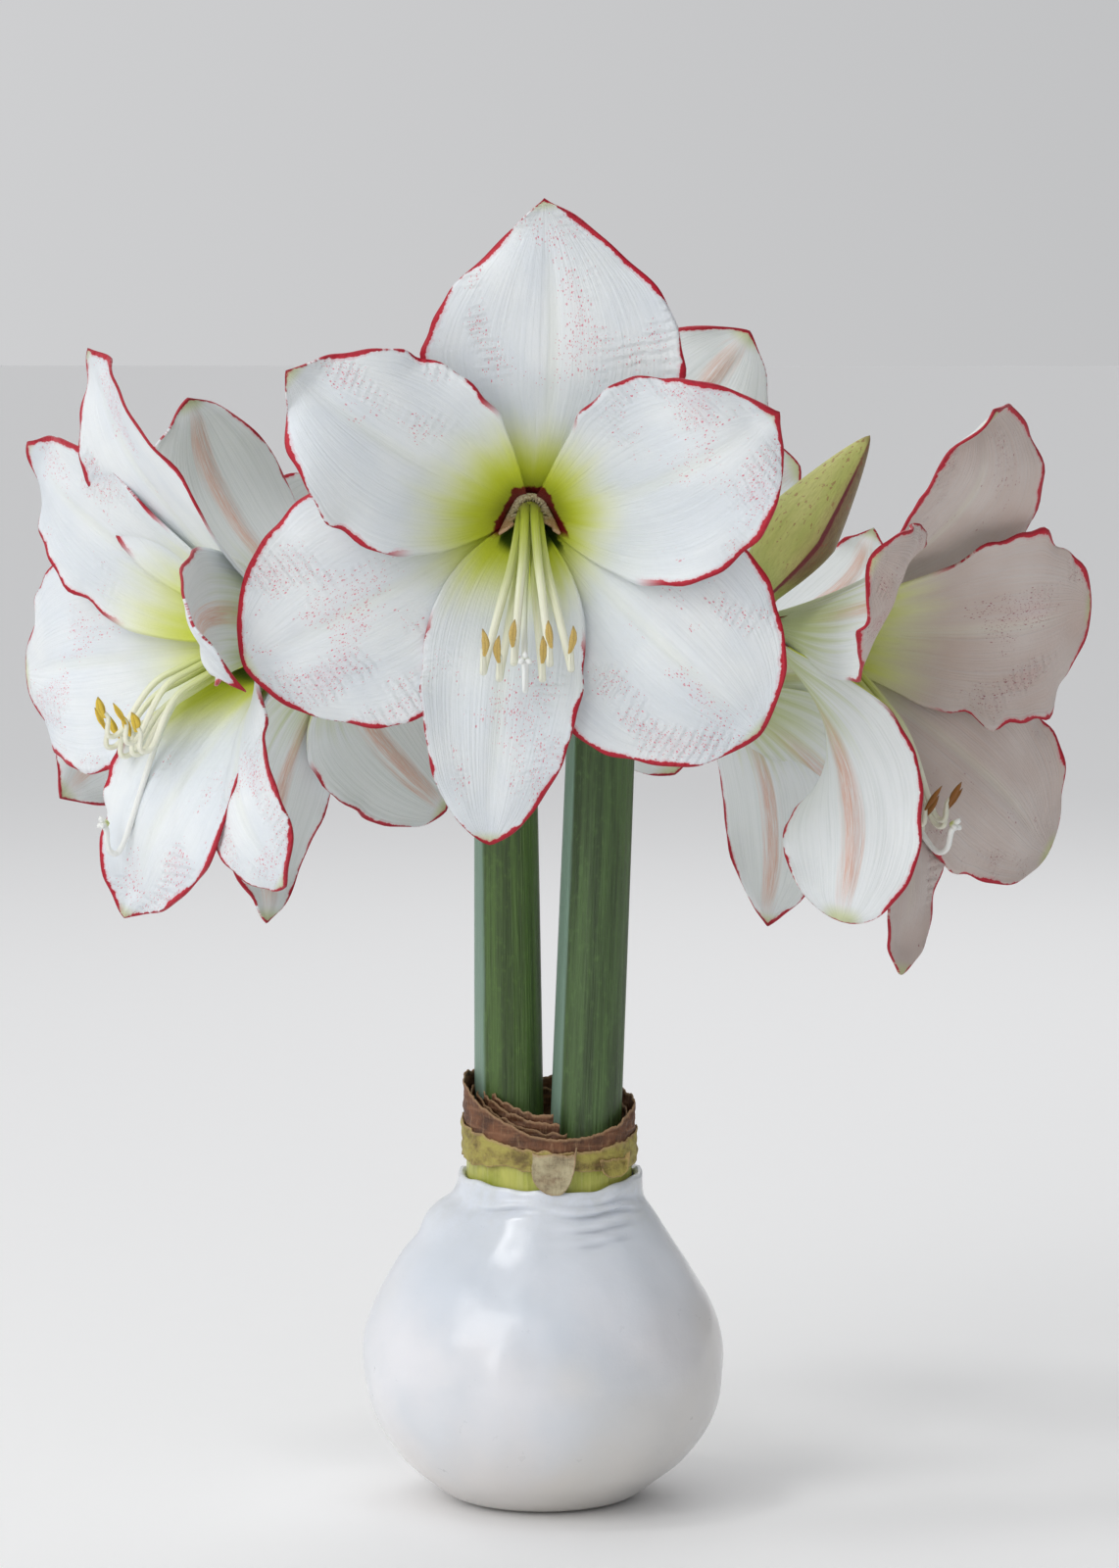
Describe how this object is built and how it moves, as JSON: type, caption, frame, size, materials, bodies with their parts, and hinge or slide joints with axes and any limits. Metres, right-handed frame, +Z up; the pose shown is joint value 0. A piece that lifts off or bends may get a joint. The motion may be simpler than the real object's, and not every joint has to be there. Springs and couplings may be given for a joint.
{
  "type": "waxed amaryllis bulb",
  "caption": "Flowering amaryllis growing from a bulb dipped in white wax: leafless stems carry wide trumpet blooms and a bud above a rounded coat with a flat foot.",
  "frame": {"origin": "middle of the wax coat's flat foot, which rests on the surface below it", "axes": "+Z up along the plant, -Y out of the front bloom, +X to the right of someone who faces that bloom"},
  "size_m": [0.3141, 0.2253, 0.3816],
  "materials": {
    "wax": "smooth white wax with a soft sheen",
    "bulb": "fleshy yellow-green bulb neck",
    "dry_scale": "dry brown papery scales, torn along the top",
    "scape": "smooth green stem with a faint bloom and lengthwise streaks",
    "pedicel": "smooth light green flower stalk",
    "tepal": "white petals with crimson rims, pink flecks and a lime green throat",
    "stamen": "pale filaments with yellow-brown anthers",
    "style": "white style with a three-lobed stigma",
    "bud": "yellow-green bud with dark red seams"
  },
  "bodies": {
    "root": {"wax_coat": "wax", "bulb": "bulb", "dry_collar": "dry_scale", "left_scape": "scape", "right_scape": "scape", "front_pedicel": "pedicel", "left_pedicel": "pedicel", "right_pedicel": "pedicel", "back_pedicel": "pedicel", "back_left_pedicel": "pedicel", "back_right_pedicel": "pedicel", "bud_pedicel": "pedicel", "front_perianth": "tepal", "left_perianth": "tepal", "right_perianth": "tepal", "back_perianth": "tepal", "back_left_perianth": "tepal", "back_right_perianth": "tepal", "front_stamens": "stamen", "left_stamens": "stamen", "right_stamens": "stamen", "back_stamens": "stamen", "back_left_stamens": "stamen", "back_right_stamens": "stamen", "front_pistil": "style", "left_pistil": "style", "right_pistil": "style", "back_pistil": "style", "back_left_pistil": "style", "back_right_pistil": "style", "bud": "bud"}
  },
  "joints": []
}
